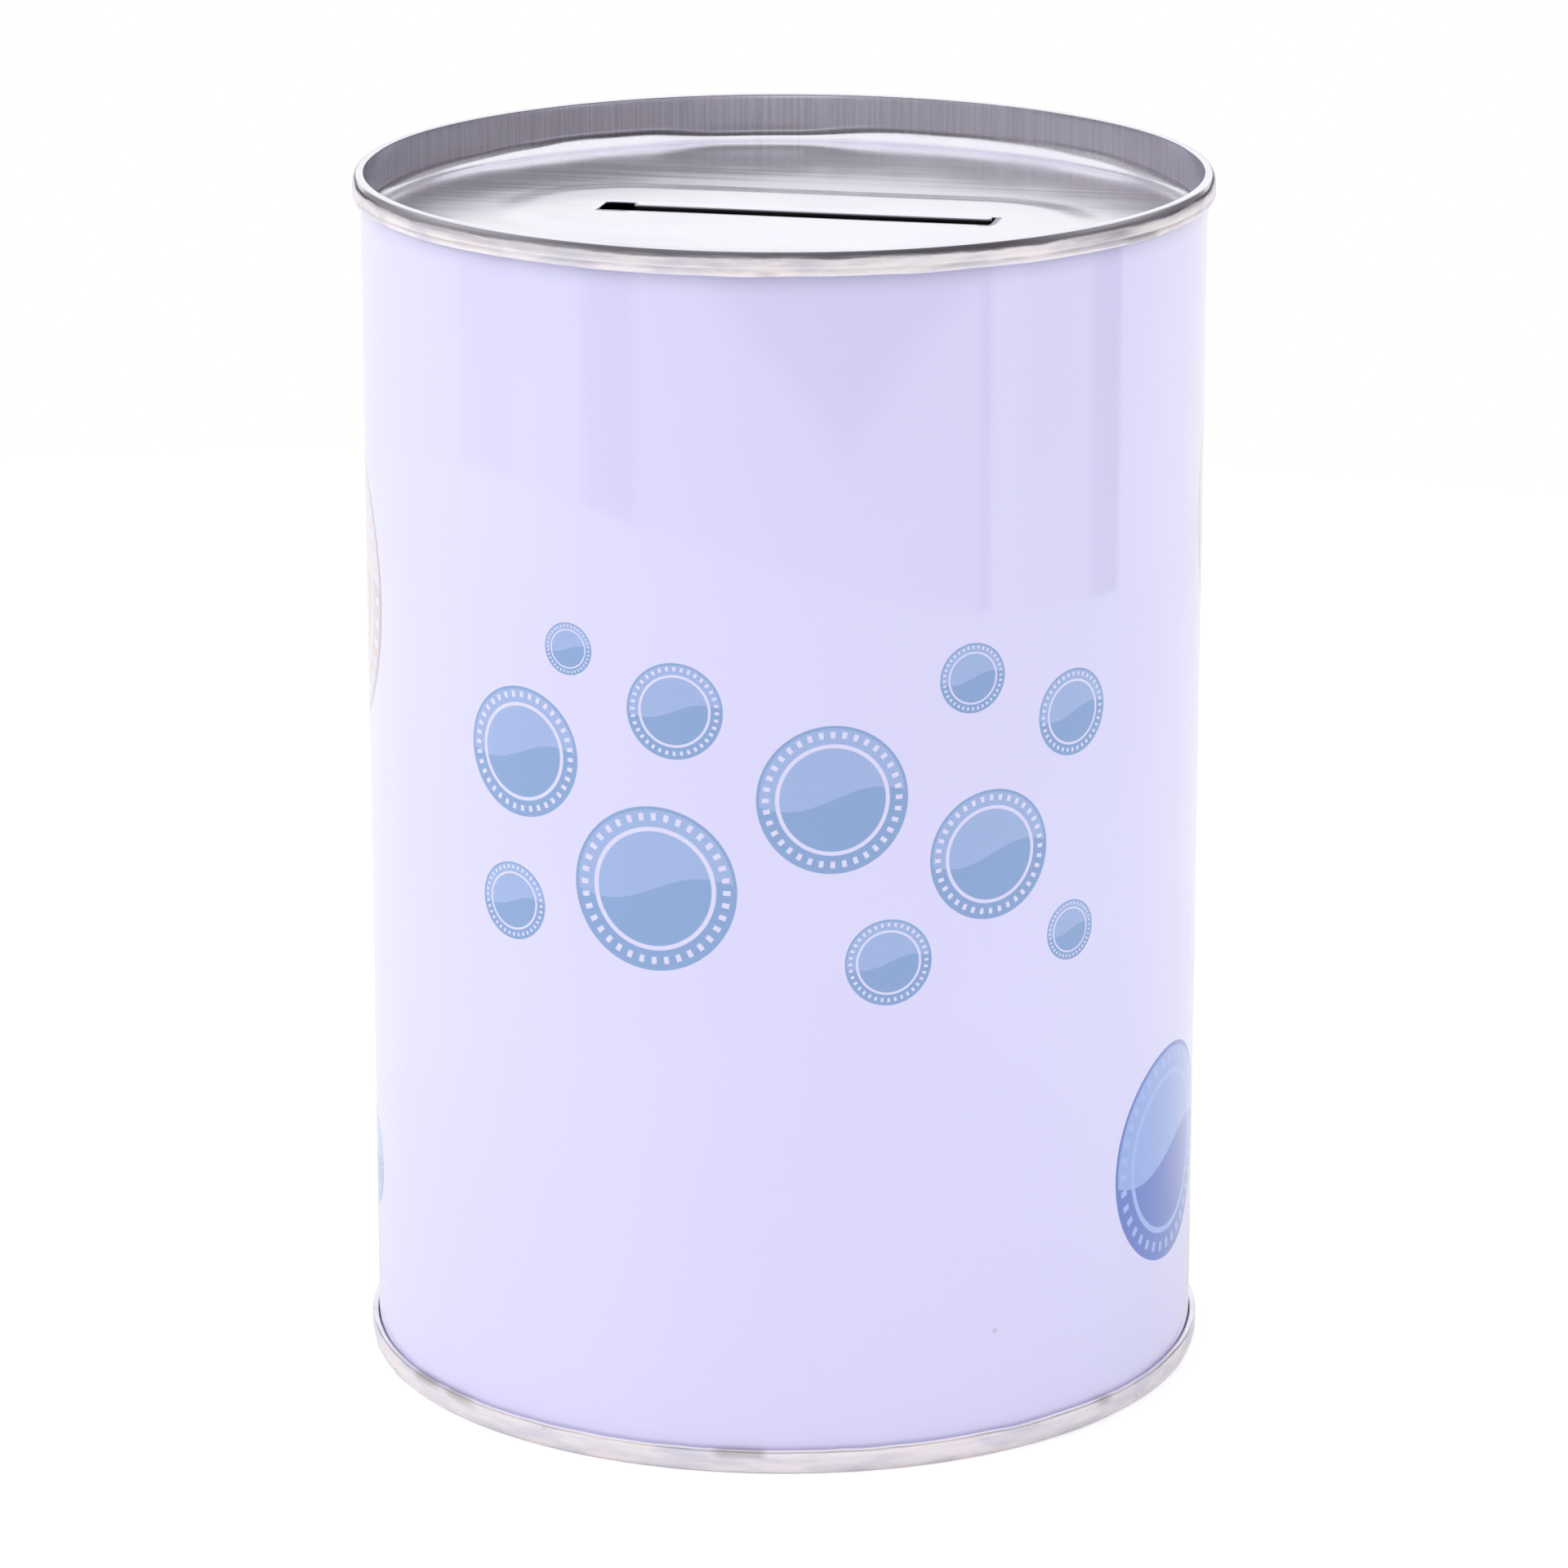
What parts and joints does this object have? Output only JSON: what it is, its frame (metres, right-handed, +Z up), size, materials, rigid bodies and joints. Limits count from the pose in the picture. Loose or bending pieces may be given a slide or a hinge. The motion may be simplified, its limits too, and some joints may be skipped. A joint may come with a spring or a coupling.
{
  "type": "tin money box",
  "caption": "Sealed round tinplate money box: printed lavender body, double-seamed bare tin ends, and a coin slot in the raised oblong of the sunk top.",
  "frame": {"origin": "centre of the ring that the tin stands on", "axes": "+Z up along the tin's axis, X along the coin slot, -Y to the side that the slot's long front edge faces"},
  "size_m": [0.1012, 0.1012, 0.144],
  "materials": {
    "lavender_print": "gloss print over white coating on tinplate",
    "tinplate": "bright rolled tinplate",
    "sealing_compound": "cured lining compound"
  },
  "bodies": {
    "root": {"can_body": "lavender_print", "top_end": "tinplate", "bottom_end": "tinplate", "top_seam_compound": "sealing_compound", "bottom_seam_compound": "sealing_compound"}
  },
  "joints": []
}
